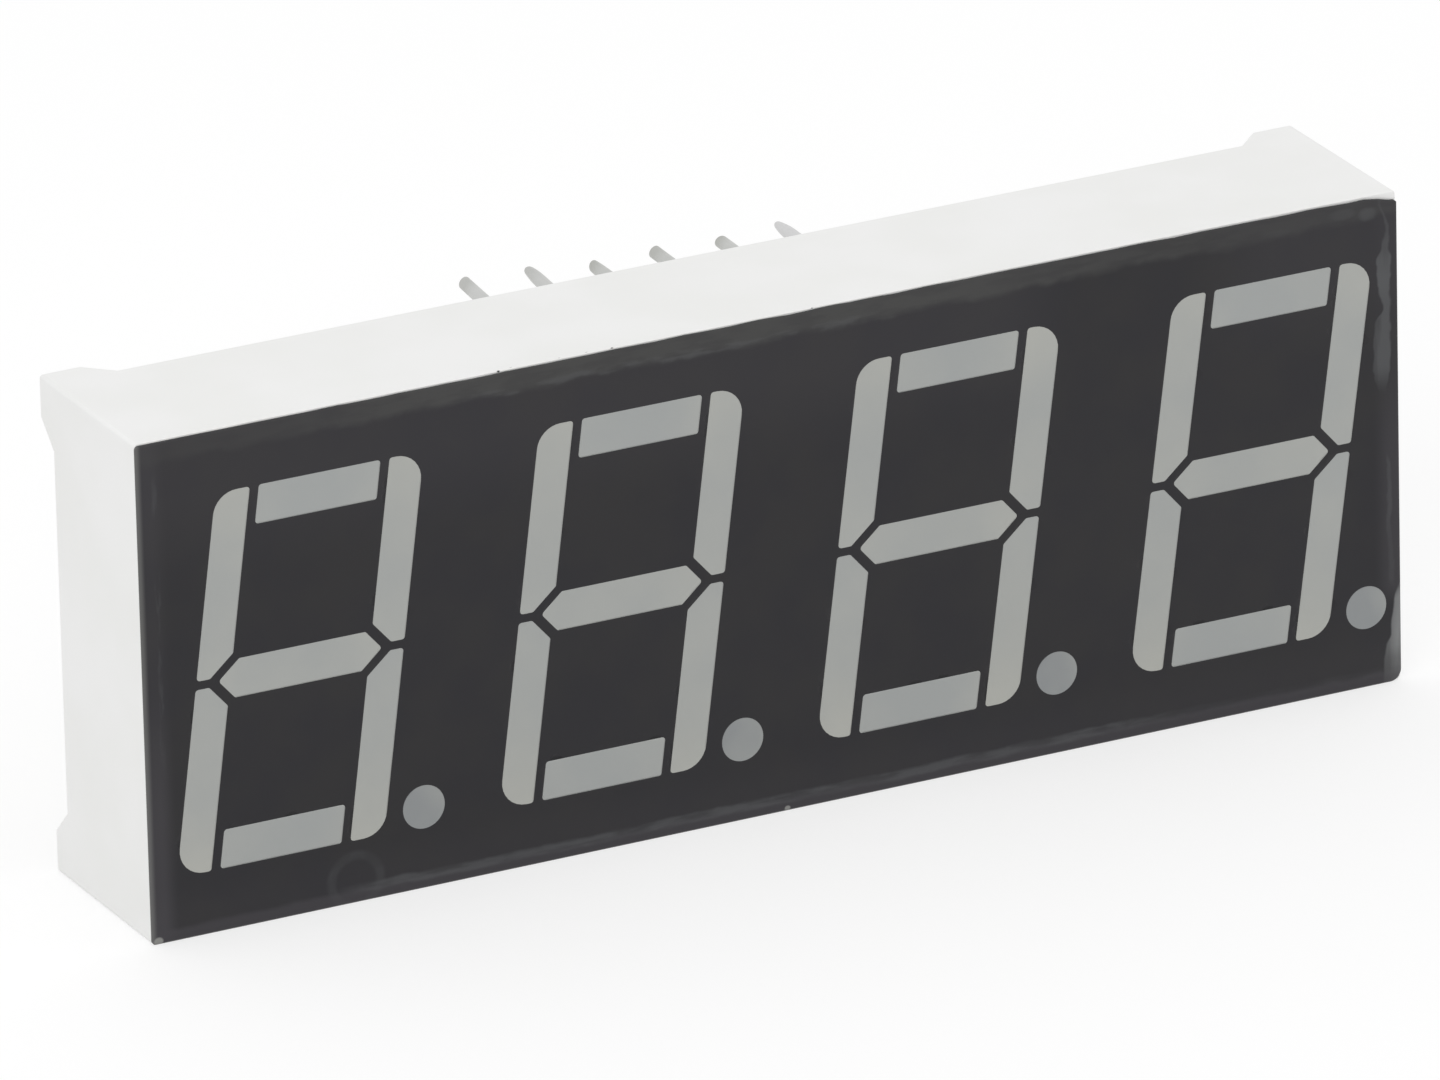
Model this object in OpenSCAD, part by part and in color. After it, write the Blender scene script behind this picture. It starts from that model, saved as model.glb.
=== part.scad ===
// Four-digit seven-segment LED display with 14.22 mm (0.56 in) figures, for soldering to a board.
// It stands on one long side. X runs along the row of digits, -Y is the side that is read, +Y is
// the way the pins leave, and Z is up. The origin is the centre of the pin pattern, on the plane
// where the feet meet the board that the display is soldered to. All sizes are in millimetres.

/* [Housing] */
// Length of the housing, along the row of digits
body_width = 50.3; // [50:0.1:70]
// Height of the housing
body_height = 19; // [18:0.1:26]
// Depth from the face to the feet
body_depth = 8; // [6:0.1:12]
// Thickness of the side walls behind the web
wall = 0.75; // [0.5:0.05:0.8]
// Radius of the four edges that run from front to back
edge_radius = 0.15; // [0.1:0.05:0.7]
// How far the corner feet stand behind the rim
foot_height = 1; // [0.4:0.1:1.6]
// Length of a foot's flat along each of its two walls
foot_flat = 1.6; // [1:0.1:4]
// Slope of a foot's flank, up from the rim
flank_angle = 45; // [30:5:75]
// Thickness of the web in front of the pockets that lighten it
face_plate = 1.2; // [0.8:0.1:2]
// Least thickness of the web between a pocket and a light well
pocket_wall = 0.9; // [0.5:0.1:1.2]
// Radius of the pockets' corners
pocket_radius = 0.4; // [0.1:0.1:0.6]

/* [Figures] */
// Height of a figure
digit_height = 14.22; // [12:0.02:14.8]
// Width of a figure across its uprights, before it is slanted
digit_width = 8.16; // [7:0.02:8.4]
// Distance from one figure to the next
digit_pitch = 12.7; // [12:0.1:13.2]
// Lean of the figures to the right
slant = 8; // [0:0.5:10]
// Width of an upright segment
upright_width = 1.35; // [1:0.05:1.6]
// Height of a bar segment
bar_height = 1.46; // [1:0.02:1.8]
// Gap between the end of the top or bottom bar and an upright
end_gap = 0.35; // [0.2:0.01:0.6]
// Gap between an upper and a lower upright
split_gap = 0.32; // [0.2:0.01:0.6]
// Width of the flat where an upper and a lower upright face each other
split_flat = 0.53; // [0.4:0.01:0.8]
// Gap between the point of the middle bar and an upright
mitre_gap = 0.36; // [0.2:0.01:0.6]
// Radius of a figure's four outer corners
outer_radius = 0.95; // [0.3:0.05:1]
// Radius of every other corner of a segment
small_radius = 0.12; // [0.05:0.01:0.15]
// Diameter of a decimal point
point_diameter = 1.65; // [1.2:0.05:1.8]
// Gap between the foot of a figure and its decimal point
point_gap = 0.65; // [0.5:0.05:0.8]
// How far a decimal point hangs below the foot of its figure
point_overhang = 0.1; // [0:0.01:0.15]

/* [Light wells and face] */
// Thickness of the film on the face
film_thickness = 0.15; // [0.05:0.01:0.3]
// Length of a light well at its floor
well_floor_length = 2.2; // [1.2:0.1:3]
// Width of a light well at its floor
well_floor_width = 0.9; // [0.7:0.05:1]
// Diameter of a decimal point's light well at its floor
point_floor = 0.8; // [0.75:0.05:0.9]

/* [Circuit board] */
// Thickness of the circuit board
board_thickness = 1; // [0.6:0.1:1.6]
// Gap that resin fills between the board's edge and the walls
board_clearance = 0.1; // [0.05:0.01:0.2]
// Depth of potting resin over the rear of the board
potting_depth = 0.85; // [0.6:0.05:1.5]
// How far the potting stops short of the rim
potting_recess = 0.15; // [0.05:0.05:0.5]

/* [Pins] */
// Pins in each of the two rows
pins_per_row = 6; // [2:1:16]
// Distance from one pin to the next in a row
pin_pitch = 2.54; // [2.5:0.01:2.6]
// Distance between the two rows of pins
row_spacing = 15.24; // [15:0.01:15.6]
// Diameter of a pin over the tin on its free end
pin_diameter = 0.5; // [0.4:0.01:0.6]
// Thickness of the tin
tin_thickness = 0.01; // [0.005:0.005:0.02]
// Bare length of a pin between the potting resin and its tin
bare_length = 0.2; // [0.1:0.05:0.5]
// Distance from the feet to the tips of the pins
pin_reach = 4.6; // [2:0.1:8]
// Chamfer at the tip of a pin
pin_chamfer = 0.1; // [0.05:0.01:0.15]
// How far a pin's inner end stands in front of the board
pin_head = 0.2; // [0.1:0.05:0.3]
// Clearance around and in front of a pin's inner end, in the web
relief_clearance = 0.25; // [0.1:0.05:0.3]
// Thickness of solder around a pin in its hole
solder_sleeve = 0.15; // [0.05:0.01:0.2]
// Diameter of a solder fillet on the board
fillet_diameter = 1.2; // [1.05:0.05:1.3]
// Height of a solder fillet
fillet_height = 0.45; // [0.2:0.05:0.5]

/* [Chips] */
// Side of an LED chip
chip_size = 0.25; // [0.2:0.01:0.3]
// Height of an LED chip
chip_height = 0.2; // [0.1:0.01:0.3]
// Distance from a chip to where its wire meets the board
wire_span = 0.5; // [0.4:0.01:0.5]
// Diameter of a bond wire
wire_diameter = 0.03; // [0.025:0.005:0.05]

/* [Hidden] */
$fn = 48;
beyond = 1;
DIGITS = [1:4];
BARS = ["a", "b", "c", "d", "e", "f", "g"];
PINS = [1:2 * pins_per_row];

// Planes across the depth, from the feet at zero to the face
rim_y = -foot_height;
potting_y = rim_y - potting_recess;
board_rear_y = potting_y - potting_depth;
board_front_y = board_rear_y - board_thickness;
face_y = -body_depth;
web_front_y = face_y + film_thickness;

// Room inside the walls, and the board that sits in it
inner_size = [body_width - 2 * wall, body_height - 2 * wall];
board_size = inner_size - 2 * board_clearance * [1, 1];

// Half sizes of a figure, before it is slanted
half_width = digit_width / 2;
half_height = digit_height / 2;
inner_edge = half_width - upright_width;
bar_end = inner_edge - end_gap;
half_bar = bar_height / 2;
half_split = split_gap / 2;
mitre_start = half_width - split_flat;
mitre_end = half_split + upright_width - split_flat;
bar_point = mitre_start + half_split - mitre_gap * sqrt(2);

point_radius = point_diameter / 2;
point_z = -(half_height + point_overhang - point_radius);
point_x = half_width + point_z * tan(slant) + point_gap + point_radius;

pin_radius = pin_diameter / 2;
bare_radius = pin_radius - tin_thickness;
hole_radius = bare_radius + solder_sleeve;

function guide_name(digit, bar) = str("digit_", digit, "_segment_", bar);
function point_name(digit) = str("digit_", digit, "_decimal_point");
function chips_name(digit) = str("led_chips_digit_", digit);
function wires_name(digit) = str("bond_wires_digit_", digit);
function pin_name(pin) = str("pin_", pin);

// ---- Outlines of the figures, drawn as they are read: x to the right and z up ----

function unit(v) = v / norm(v);
function slanted(p) = [p.x + p.y * tan(slant), p.y];
function upright(p) = [p.x - p.y * tan(slant), p.y];
function backwards(list) = [for (i = [len(list) - 1:-1:0]) list[i]];

// The arc that rounds corner b between a and c, in a path that turns left
function arc(a, b, c, radius) =
    let (
        to_a = unit(a - b),
        to_c = unit(c - b),
        half_angle = acos(to_a * to_c) / 2,
        centre = b + unit(to_a + to_c) * radius / sin(half_angle),
        start = b + to_a * radius / tan(half_angle) - centre,
        first = atan2(start.y, start.x),
        turn = 180 - 2 * half_angle,
        steps = radius > 0.3 ? 8 : 3
    )
    [for (i = [0:steps]) centre + radius * [cos(first + turn * i / steps), sin(first + turn * i / steps)]];

// A closed outline with round corners, from corners given as [x, z, radius] before the slant
function outline(corners) =
    let (
        count = len(corners),
        path = [for (corner = corners) slanted(corner)]
    )
    [for (i = [0:count - 1]) each arc(path[(i + count - 1) % count], path[i], path[(i + 1) % count], corners[i].z)];

// Top or bottom bar, and the middle bar with its two points
function end_bar(low, high) =
    let (r = small_radius)
    [[-bar_end, low, r], [bar_end, low, r], [bar_end, high, r], [-bar_end, high, r]];

function middle_bar() =
    let (
        shoulder = bar_point - half_bar,
        r = small_radius,
        right = [[shoulder, -half_bar, r], [bar_point, 0, r], [shoulder, half_bar, r]]
    )
    [each right, for (corner = right) [-corner.x, -corner.y, r]];

// An upright on side -1 or 1, going to end -1 or 1, cut to a mitre where it meets the middle bar
function side_bar(side, end) =
    let (
        r = small_radius,
        corners = [
            [side * half_width, end * half_height, outer_radius],
            [side * half_width, end * half_split, r],
            [side * mitre_start, end * half_split, r],
            [side * inner_edge, end * mitre_end, r],
            [side * inner_edge, end * half_height, r]
        ]
    )
    side * end < 0 ? corners : backwards(corners);

function bar_corners(bar) =
    bar == "a" ? end_bar(half_height - bar_height, half_height)
    : bar == "b" ? side_bar(1, 1)
    : bar == "c" ? side_bar(1, -1)
    : bar == "d" ? end_bar(-half_height, bar_height - half_height)
    : bar == "e" ? side_bar(-1, -1)
    : bar == "f" ? side_bar(-1, 1)
    : middle_bar();

// Least and greatest corner of a segment before the slant, its middle, and the way its length runs
function low_corner(corners) = [min([for (c = corners) c.x]), min([for (c = corners) c.y])];
function high_corner(corners) = [max([for (c = corners) c.x]), max([for (c = corners) c.y])];
function bar_size(bar) = high_corner(bar_corners(bar)) - low_corner(bar_corners(bar));
function bar_middle(bar) = (high_corner(bar_corners(bar)) + low_corner(bar_corners(bar))) / 2;
function is_upright(bar) = bar_size(bar).y > bar_size(bar).x;
function bar_lean(bar) = is_upright(bar) ? 90 - slant : 0;

// The floor of a light well: the segment's own outline, drawn in towards its middle
function floor_outline(bar) =
    let (
        floor_size = is_upright(bar) ? [well_floor_width, well_floor_length] : [well_floor_length, well_floor_width],
        size = bar_size(bar),
        middle = bar_middle(bar),
        share = [floor_size.x / size.x, floor_size.y / size.y]
    )
    [
        for (p = outline(bar_corners(bar)))
            let (from_middle = upright(p) - middle)
            slanted(middle + [from_middle.x * share.x, from_middle.y * share.y])
    ];

function digit_x(digit) = (digit - 2.5) * digit_pitch;
function pin_column(pin) = (pin - 1) % pins_per_row;
// Pins 1 up run along the lower row from the left, and the rest come back along the upper row
function pin_x(pin) =
    (pin_column(pin) - (pins_per_row - 1) / 2) * pin_pitch * (pin > pins_per_row ? -1 : 1);
function pin_z(pin) = (pin > pins_per_row ? 1 : -1) * row_spacing / 2;

// ---- Shapes that several pieces share ----

// Gives a flat drawing, x to the right and z up, its depth from one y to another
module deep(from, to) {
    translate([0, to, 0]) rotate([90, 0, 0]) linear_extrude(to - from) children();
}

module round_rod(radius, from, to, end_radius = undef) {
    last = is_undef(end_radius) ? radius : end_radius;
    translate([0, from, 0]) rotate([-90, 0, 0]) cylinder(h = to - from, r1 = radius, r2 = last);
}

module rounded_rectangle(size, radius) {
    square(size - [2 * radius, 0], center = true);
    square(size - [0, 2 * radius], center = true);
    for (x = [-1, 1], z = [-1, 1])
        translate([x * (size.x / 2 - radius), z * (size.y / 2 - radius)]) circle(radius);
}

// A solid through outlines of equal length, each given as [y, points], from front to back
module loft(rings) {
    count = len(rings[0][1]);
    levels = len(rings);
    polyhedron(
        points = [for (ring = rings) for (p = ring[1]) [p.x, ring[0], p.y]],
        faces = [
            [for (i = [count - 1:-1:0]) i],
            for (level = [0:levels - 2]) for (i = [0:count - 1])
                let (
                    here = level * count + i,
                    next = level * count + (i + 1) % count
                )
                each [[here, next, next + count], [here, next + count, here + count]],
            [for (i = [0:count - 1]) (levels - 1) * count + i]
        ],
        convexity = 4
    );
}

// What fills a segment's window and light well, and goes on for a length behind the well's floor
module bar_well(bar, behind = 0) {
    window = outline(bar_corners(bar));
    bottom = floor_outline(bar);
    loft([
        [face_y, window],
        [web_front_y, window],
        [board_front_y, bottom],
        if (behind > 0) [board_front_y + behind, bottom]
    ]);
}

module point_well(behind = 0) {
    translate([point_x, 0, point_z]) {
        round_rod(point_radius, face_y, web_front_y);
        round_rod(point_radius, web_front_y, board_front_y, point_floor / 2);
        if (behind > 0) round_rod(point_floor / 2, board_front_y, board_front_y + behind);
    }
}

// Puts a chip or a wire in the middle of a light well's floor, with its length along the segment
module on_bar_floor(bar) {
    middle = slanted(bar_middle(bar));
    translate([middle.x, board_front_y, middle.y]) rotate([0, -bar_lean(bar), 0]) children();
}

module on_point_floor() {
    translate([point_x, board_front_y, point_z]) children();
}

module on_every_floor(digit) {
    translate([digit_x(digit), 0, 0]) {
        for (bar = BARS) on_bar_floor(bar) children();
        on_point_floor() children();
    }
}

module chip() {
    translate([-wire_span / 2, -chip_height / 2, 0])
        cube([chip_size, chip_height, chip_size], center = true);
}

// Half a turn of wire from the top of the chip, and a straight leg down to the board
module bond_wire() {
    translate([0, -chip_height, 0]) rotate([0, 0, 180]) rotate_extrude(angle = 180)
        translate([wire_span / 2, 0]) circle(wire_diameter / 2, $fn = 16);
    translate([wire_span / 2, 0, 0]) round_rod(wire_diameter / 2, -chip_height, 0, $fn = 16);
}

module chip_and_wire() {
    chip();
    bond_wire();
}

module at_pins() {
    for (pin = PINS) translate([pin_x(pin), 0, pin_z(pin)]) children();
}

// A pin's free end, which is dipped in tin once the resin has set, and the bare wire in front of it
module pin_body() {
    tin_y = potting_y + bare_length;
    shank_end = pin_reach - pin_chamfer;
    round_rod(pin_radius, tin_y, shank_end);
    round_rod(pin_radius, shank_end, pin_reach, pin_radius - pin_chamfer);
    round_rod(bare_radius, board_front_y - pin_head, tin_y);
}

module solder_body() {
    round_rod(hole_radius, board_front_y, board_rear_y);
    round_rod(fillet_diameter / 2, board_rear_y, board_rear_y + fillet_height, hole_radius);
}

// ---- Pieces of the housing ----

// Takes the rim down between two feet of a wall of the given length, drawn with the depth upwards
module rim_cut(length) {
    top = length / 2 - foot_flat;
    bottom = top - foot_height / tan(flank_angle);
    polygon([[-bottom, rim_y], [bottom, rim_y], [top, 0], [top, beyond], [-top, beyond], [-top, 0]]);
}

// Pocket between a figure's bars, above or below the middle bar
module counter_pocket(end) {
    low = half_bar + pocket_wall;
    high = half_height - bar_height - pocket_wall;
    side = inner_edge - pocket_wall;
    r = pocket_radius;
    corners = [[-side, low, r], [side, low, r], [side, high, r], [-side, high, r]];
    polygon(outline(end > 0 ? corners : [for (c = corners) [-c.x, -c.y, r]]));
}

// Pocket between one figure and the next, clear of the decimal point below it
module gap_pocket() {
    left = half_width + pocket_wall;
    right = digit_pitch - half_width - pocket_wall;
    end = -point_z - point_radius - pocket_wall;
    r = pocket_radius;
    polygon(outline([[left, -end, r], [right, -end, r], [right, end, r], [left, end, r]]));
}

module pockets() {
    deep(web_front_y + face_plate, board_front_y + beyond) {
        for (digit = DIGITS) translate([digit_x(digit), 0]) {
            counter_pocket(1);
            counter_pocket(-1);
            if (digit < 4) gap_pocket();
        }
    }
}

module light_wells() {
    for (digit = DIGITS) translate([digit_x(digit), 0, 0]) {
        for (bar = BARS) bar_well(bar, behind = beyond);
        point_well(behind = beyond);
    }
}

module housing() {
    relief_y = board_front_y - pin_head - relief_clearance;
    color("white") difference() {
        deep(web_front_y, 0) rounded_rectangle([body_width, body_height], edge_radius);
        deep(board_front_y, beyond) square(inner_size, center = true);
        linear_extrude(body_height + 2 * beyond, center = true) rim_cut(body_width);
        rotate([0, 90, 0]) linear_extrude(body_width + 2 * beyond, center = true) rim_cut(body_height);
        light_wells();
        pockets();
        at_pins() round_rod(bare_radius + relief_clearance, relief_y, board_front_y + beyond);
    }
}

// ---- The other pieces ----

module face_film() {
    color("dimgray") deep(face_y, web_front_y) difference() {
        rounded_rectangle([body_width, body_height], edge_radius);
        for (digit = DIGITS) translate([digit_x(digit), 0]) {
            for (bar = BARS) polygon(outline(bar_corners(bar)));
            translate([point_x, point_z]) circle(point_radius);
        }
    }
}

module light_guide(digit, bar) {
    color("darkgray") translate([digit_x(digit), 0, 0]) difference() {
        bar_well(bar);
        on_bar_floor(bar) chip_and_wire();
    }
}

module decimal_point(digit) {
    color("darkgray") translate([digit_x(digit), 0, 0]) difference() {
        point_well();
        on_point_floor() chip_and_wire();
    }
}

module led_chips(digit) {
    color("gold") on_every_floor(digit) chip();
}

module bond_wires(digit) {
    color("goldenrod") on_every_floor(digit) bond_wire();
}

module board_blank() {
    deep(board_front_y, board_rear_y) square(board_size, center = true);
}

module circuit_board() {
    color("seagreen") difference() {
        board_blank();
        at_pins() round_rod(hole_radius, board_front_y - beyond, board_rear_y + beyond);
    }
}

module pin(number) {
    color("silver") translate([pin_x(number), 0, pin_z(number)]) pin_body();
}

module solder_joints() {
    color("lightgray") at_pins() difference() {
        solder_body();
        pin_body();
    }
}

module potting_resin() {
    color("linen") difference() {
        deep(board_front_y, potting_y) square(inner_size, center = true);
        board_blank();
        at_pins() solder_body();
        at_pins() pin_body();
    }
}

housing();
face_film();
for (digit = DIGITS) {
    for (bar = BARS) light_guide(digit, bar);
    decimal_point(digit);
    led_chips(digit);
    bond_wires(digit);
}
circuit_board();
for (pin = PINS) pin(pin);
solder_joints();
potting_resin();
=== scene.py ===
from math import ceil, cos, exp, hypot, radians, sin

import bmesh
import bpy
import numpy as np
from mathutils import Matrix, Vector
from mathutils.geometry import delaunay_2d_cdt
from mathutils.noise import noise as noise_at


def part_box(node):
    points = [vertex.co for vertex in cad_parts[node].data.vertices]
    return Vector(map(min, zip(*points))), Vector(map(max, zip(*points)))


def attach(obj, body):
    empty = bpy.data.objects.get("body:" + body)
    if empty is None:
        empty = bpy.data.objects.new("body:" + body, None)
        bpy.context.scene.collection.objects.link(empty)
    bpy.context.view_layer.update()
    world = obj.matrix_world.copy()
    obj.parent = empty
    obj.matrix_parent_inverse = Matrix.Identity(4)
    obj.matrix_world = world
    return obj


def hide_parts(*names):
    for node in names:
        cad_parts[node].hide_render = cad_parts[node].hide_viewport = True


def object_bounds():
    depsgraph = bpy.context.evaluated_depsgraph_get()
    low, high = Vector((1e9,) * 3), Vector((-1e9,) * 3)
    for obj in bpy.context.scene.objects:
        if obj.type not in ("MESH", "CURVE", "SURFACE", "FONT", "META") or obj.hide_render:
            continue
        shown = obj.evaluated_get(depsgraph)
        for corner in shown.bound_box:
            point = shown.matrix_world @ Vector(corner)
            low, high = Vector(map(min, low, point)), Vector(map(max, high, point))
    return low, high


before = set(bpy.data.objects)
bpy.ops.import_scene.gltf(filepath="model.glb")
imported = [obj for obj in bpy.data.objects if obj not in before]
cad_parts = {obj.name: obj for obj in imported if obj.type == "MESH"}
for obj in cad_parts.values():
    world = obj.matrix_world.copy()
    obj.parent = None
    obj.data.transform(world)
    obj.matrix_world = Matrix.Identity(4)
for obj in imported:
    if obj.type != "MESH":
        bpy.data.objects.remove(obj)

MM = 0.001
cad_low, cad_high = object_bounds()
cad_low, cad_high = Vector(cad_low), Vector(cad_high)

# ---- Camera ----
# A long lens, well back, looks down a little from the left at a point just beside the middle of
# the face. It leans by about a degree, as a hand-set tripod head does.
LENS = 492.4
NEAREST_SEEN = 10 * MM
CAMERA_AZIMUTH = radians(-26.311)
CAMERA_ELEVATION = radians(21.558)
CAMERA_ROLL = radians(-1.375)
CAMERA_DISTANCE = 701.8 * MM
AIM_FROM_FACE_MIDDLE = Vector((-2.413, 0, 1.441)) * MM

face_middle = Vector(((cad_low.x + cad_high.x) / 2, cad_low.y, (cad_low.z + cad_high.z) / 2))
backwards = Vector((
    sin(CAMERA_AZIMUTH) * cos(CAMERA_ELEVATION),
    -cos(CAMERA_AZIMUTH) * cos(CAMERA_ELEVATION),
    sin(CAMERA_ELEVATION),
))
level_right = (-backwards).cross(Vector((0, 0, 1))).normalized()
level_up = level_right.cross(-backwards)
camera_right = cos(CAMERA_ROLL) * level_right + sin(CAMERA_ROLL) * level_up
camera_up = cos(CAMERA_ROLL) * level_up - sin(CAMERA_ROLL) * level_right

camera = bpy.data.objects.new("camera", bpy.data.cameras.new("camera"))
camera.data.lens = LENS
camera.data.clip_start = NEAREST_SEEN
camera.matrix_world = Matrix((camera_right, camera_up, backwards)).transposed().to_4x4()
camera.location = face_middle + AIM_FROM_FACE_MIDDLE + backwards * CAMERA_DISTANCE
bpy.context.scene.collection.objects.link(camera)
bpy.context.scene.camera = camera


# ---- Housing ----
# One injection moulding in white plastic: four thin side walls with a foot at each corner, and a
# thick web in front whose 32 tapered wells carry the light. Its edges are softened by the mould.
HOUSING_WHITE = (0.865, 0.865, 0.858, 1)
HOUSING_SHADE = (0.845, 0.847, 0.832, 1)
RIM_SOFTENING = 0.07 * MM
FRONT_SOFTENING = 0.05 * MM
SOFTENING_STEPS = 3
# An edge this near the outline and this near the front plane is part of the front's outline
CORNER_ZONE = 0.31 * MM
SKIN = 0.05 * MM
# Specks of the film's ink cling to the walls' front edge, and stop this far behind it in mm
INK = (0.045, 0.045, 0.046, 1)
INK_SPECKS = {"Cell": 0.5, "Radius": 0.07, "Share": 0.25}
INK_STRETCH = (1.0, 2.0, 1.0)
INK_FADE = (0.12, 0.04)
# Points this close are one, faces turned this little are one, and edges turned this much stay crisp
WELD = 1e-7
FLAT_ANGLE = radians(0.4)
SHARP_ANGLE = radians(32)
# The grain's slow drift of tone is this many times wider, and its noise fades in between these
DRIFT_WIDTH = 30.0
DRIFT_DETAIL = 2.0
DRIFT_FADE = (0.3, 0.7)
# The share of a speck's radius that is solid
SPECK_CORE = 0.6


def node(tree, kind, links=None, **settings):
    """Adds a node to a tree, sets its properties, and sets or links its inputs."""
    made = tree.nodes.new(kind)
    for name, value in settings.items():
        setattr(made, name, value)
    for name, value in (links or {}).items():
        if isinstance(value, bpy.types.NodeSocket):
            tree.links.new(value, made.inputs[name])
        else:
            made.inputs[name].default_value = value
    return made


def calc(tree, operation, *values):
    """A Math node's result, from numbers or sockets."""
    return node(tree, "ShaderNodeMath", dict(enumerate(values)), operation=operation).outputs[0]


def vector_calc(tree, operation, first, second):
    """A Vector Math node's result. To scale, the second value is a number."""
    links = {0: first, "Scale" if operation == "SCALE" else 1: second}
    made = node(tree, "ShaderNodeVectorMath", links, operation=operation)
    return made.outputs["Value" if operation == "DOT_PRODUCT" else "Vector"]


def product(tree, *masks):
    """Several masks multiplied together."""
    whole = masks[0]
    for mask in masks[1:]:
        whole = calc(tree, "MULTIPLY", whole, mask)
    return whole


def ramp(tree, value, start, end, low=0.0, high=1.0):
    """A smooth step from low to high as the value goes from start to end."""
    links = {"Value": value, "From Min": start, "From Max": end, "To Min": low, "To Max": high}
    return node(tree, "ShaderNodeMapRange", links, interpolation_type="SMOOTHSTEP").outputs["Result"]


def cloud(tree, place, scale, detail=3.0):
    """A soft noise with a given number of patches to each unit."""
    links = {"Vector": place, "Scale": scale, "Detail": detail}
    return node(tree, "ShaderNodeTexNoise", links).outputs["Fac"]


def scaled(tree, place, scale):
    """A place with each axis scaled, which squeezes or draws out a pattern that is read there."""
    return node(tree, "ShaderNodeMapping", {"Vector": place, "Scale": scale}).outputs[0]


def mix_colour(tree, mask, first, second):
    """A colour between two others, by a mask."""
    links = {0: mask, 6: first, 7: second}
    return node(tree, "ShaderNodeMix", links, data_type="RGBA", clamp_factor=True).outputs[2]


def effect(name, inputs, outputs):
    """A new shader node group. Returns it with its input node's sockets and its output node."""
    group = bpy.data.node_groups.new(name, "ShaderNodeTree")
    for label, kind in inputs.items():
        group.interface.new_socket(label, in_out="INPUT", socket_type=kind)
    for label in outputs:
        group.interface.new_socket(label, in_out="OUTPUT", socket_type="NodeSocketFloat")
    entry = node(group, "NodeGroupInput")
    return group, entry.outputs, node(group, "NodeGroupOutput")


def make_grain():
    """Fine relief of a given size, and a slow and much wider drift of tone."""
    inputs = {"Place": "NodeSocketVector", "Size": "NodeSocketFloat"}
    group, given, result = effect("surface_grain", inputs, ["Relief", "Tone"])
    scale = calc(group, "DIVIDE", 1.0, given["Size"])
    fine = cloud(group, given["Place"], scale)
    slow = cloud(group, given["Place"], calc(group, "DIVIDE", scale, DRIFT_WIDTH), DRIFT_DETAIL)
    group.links.new(fine, result.inputs["Relief"])
    group.links.new(ramp(group, slow, *DRIFT_FADE), result.inputs["Tone"])
    return group


def make_specks():
    """Round specks, one in each of some of the cells of a given size."""
    sizes = dict.fromkeys(["Cell", "Radius", "Share"], "NodeSocketFloat")
    group, given, result = effect("specks", {"Place": "NodeSocketVector"} | sizes, ["Mask"])
    scale = calc(group, "DIVIDE", 1.0, given["Cell"])
    cells = node(group, "ShaderNodeTexVoronoi", {"Vector": given["Place"], "Scale": scale})
    reach = calc(group, "DIVIDE", given["Radius"], given["Cell"])
    near = ramp(group, calc(group, "DIVIDE", cells.outputs["Distance"], reach), 1.0, SPECK_CORE)
    pick = node(group, "ShaderNodeSeparateColor", {0: cells.outputs["Color"]}).outputs[0]
    chosen = calc(group, "LESS_THAN", pick, given["Share"])
    group.links.new(product(group, near, chosen), result.inputs["Mask"])
    return group


surface_grain = make_grain()
specks = make_specks()


class Finish:
    """A material named for its slot, with its place in millimetres and short ways to wire it."""

    def __init__(self, slot, **uniform):
        self.slot = slot
        self.material = bpy.data.materials.new(slot)
        self.material.use_nodes = True
        self.tree = self.material.node_tree
        self.shader = self.tree.nodes["Principled BSDF"]
        for label, value in uniform.items():
            self.shader.inputs[label.replace("_", " ")].default_value = value
        metres = node(self.tree, "ShaderNodeTexCoord").outputs["Object"]
        self.place = vector_calc(self.tree, "SCALE", metres, 1 / MM)
        self.x, self.y, self.z = node(self.tree, "ShaderNodeSeparateXYZ", {0: self.place}).outputs

    def use(self, group, **links):
        """Places a shared effect and returns its outputs."""
        return node(self.tree, "ShaderNodeGroup", links, node_tree=group).outputs

    def grain(self, size):
        """The relief and tone of grain that is this size in mm."""
        return self.use(surface_grain, Place=self.place, Size=size)

    def feed(self, label, value):
        self.tree.links.new(value, self.shader.inputs[label])

    def colour(self, mask, first, second):
        self.feed("Base Color", mix_colour(self.tree, mask, first, second))

    def rough(self, mask, low, high):
        self.feed("Roughness", ramp(self.tree, mask, 0.0, 1.0, low, high))

    def relief(self, height, depth, strength=1.0):
        links = {"Height": height, "Distance": depth, "Strength": strength}
        self.feed("Normal", node(self.tree, "ShaderNodeBump", links).outputs[0])


def welded_copy(cad_node):
    """A CAD node's shape as a new closed mesh, with the triangles of each flat face joined up."""
    shape = bmesh.new()
    shape.from_mesh(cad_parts[cad_node].data)
    bmesh.ops.remove_doubles(shape, verts=shape.verts, dist=WELD)
    bmesh.ops.dissolve_limit(
        shape, angle_limit=FLAT_ANGLE, use_dissolve_boundaries=False, verts=shape.verts, edges=shape.edges
    )
    return shape


def finish_piece(name, mesh, cad_nodes, finish):
    """Makes a mesh a named piece that rides on the body and stands for its CAD nodes."""
    if not mesh.materials:
        mesh.materials.append(finish.material)
    mesh.shade_smooth()
    mesh.set_sharp_from_angle(angle=SHARP_ANGLE)
    piece = bpy.data.objects.new(name, mesh)
    bpy.context.scene.collection.objects.link(piece)
    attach(piece, "root")
    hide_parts(*cad_nodes)
    return piece


def finish_shape(name, shape, cad_nodes, finish):
    """Makes a bmesh shape such a piece."""
    mesh = bpy.data.meshes.new(name)
    shape.to_mesh(mesh)
    shape.free()
    return finish_piece(name, mesh, cad_nodes, finish)


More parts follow.
